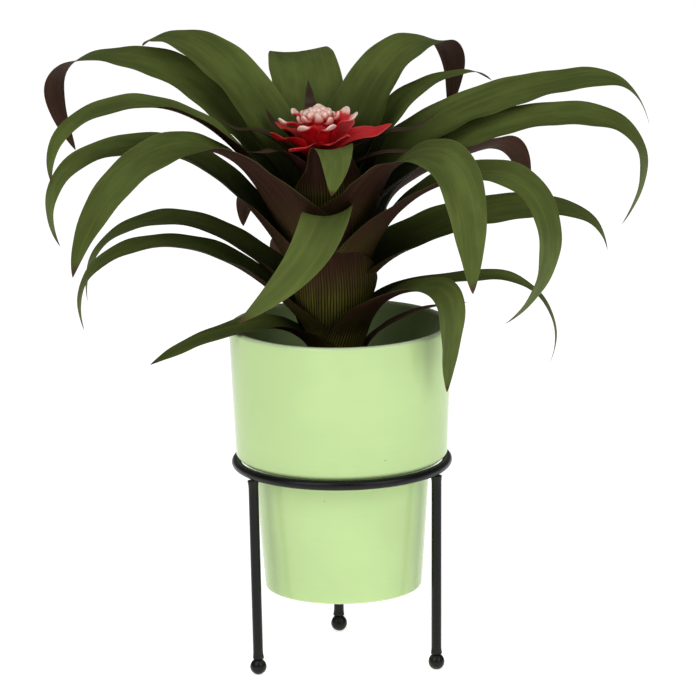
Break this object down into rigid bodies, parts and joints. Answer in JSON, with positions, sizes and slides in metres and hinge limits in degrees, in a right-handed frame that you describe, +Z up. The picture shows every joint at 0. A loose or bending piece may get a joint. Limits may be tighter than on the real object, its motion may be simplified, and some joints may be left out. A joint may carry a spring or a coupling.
{
  "type": "potted bromeliad",
  "caption": "Rosette of arching strap leaves with a small red flower head, in a plastic nursery pot inside a stepped glazed cover pot on a low wire stand.",
  "frame": {"origin": "on the floor, under the middle of the object's box", "axes": "+Z up along the plant; -Y is the front, between the stand's two front legs; +X to the right"},
  "size_m": [0.3852, 0.2632, 0.3936],
  "materials": {
    "pale_green_glaze": "gloss",
    "satin_black_wire": "satin",
    "black_plastic": "matte",
    "peat_soil": "matte",
    "leaf_green": "satin",
    "dry_leaf": "matte",
    "maroon_bract": "satin",
    "stem_brown": "matte",
    "red_bract": "satin",
    "bud_pink": "satin"
  },
  "bodies": {
    "root": {"cover_pot": "pale_green_glaze", "nursery_pot": "black_plastic", "soil": "peat_soil", "stand_ring": "satin_black_wire", "stand_leg_front_left": "satin_black_wire", "stand_leg_front_right": "satin_black_wire", "stand_leg_back": "satin_black_wire", "stand_foot_front_left": "satin_black_wire", "stand_foot_front_right": "satin_black_wire", "stand_foot_back": "satin_black_wire", "stem": "stem_brown", "flower_stalk": "stem_brown", "flower_head": "bud_pink", "leaf_dry": "dry_leaf", "leaf_01": "leaf_green", "leaf_02": "leaf_green", "leaf_03": "leaf_green", "leaf_04": "leaf_green", "leaf_05": "leaf_green", "leaf_06": "leaf_green", "leaf_07": "leaf_green", "leaf_08": "leaf_green", "leaf_09": "leaf_green", "leaf_10": "leaf_green", "leaf_11": "leaf_green", "leaf_12": "leaf_green", "leaf_13": "leaf_green", "leaf_14": "leaf_green", "leaf_15": "leaf_green", "leaf_16": "leaf_green", "leaf_17": "leaf_green", "leaf_18": "leaf_green", "leaf_19": "leaf_green", "leaf_20": "leaf_green", "leaf_21": "leaf_green", "leaf_22": "leaf_green", "leaf_23": "leaf_green", "leaf_24": "leaf_green", "leaf_25": "leaf_green", "maroon_bract_1": "maroon_bract", "maroon_bract_2": "maroon_bract", "maroon_bract_3": "maroon_bract", "maroon_bract_4": "maroon_bract", "maroon_bract_5": "maroon_bract", "maroon_bract_6": "maroon_bract", "red_bract_outer_1": "red_bract", "red_bract_outer_2": "red_bract", "red_bract_outer_3": "red_bract", "red_bract_outer_4": "red_bract", "red_bract_outer_5": "red_bract", "red_bract_outer_6": "red_bract", "red_bract_outer_7": "red_bract", "red_bract_inner_1": "red_bract", "red_bract_inner_2": "red_bract", "red_bract_inner_3": "red_bract", "red_bract_inner_4": "red_bract", "red_bract_inner_5": "red_bract", "red_bract_inner_6": "red_bract", "red_bract_inner_7": "red_bract"}
  },
  "joints": []
}
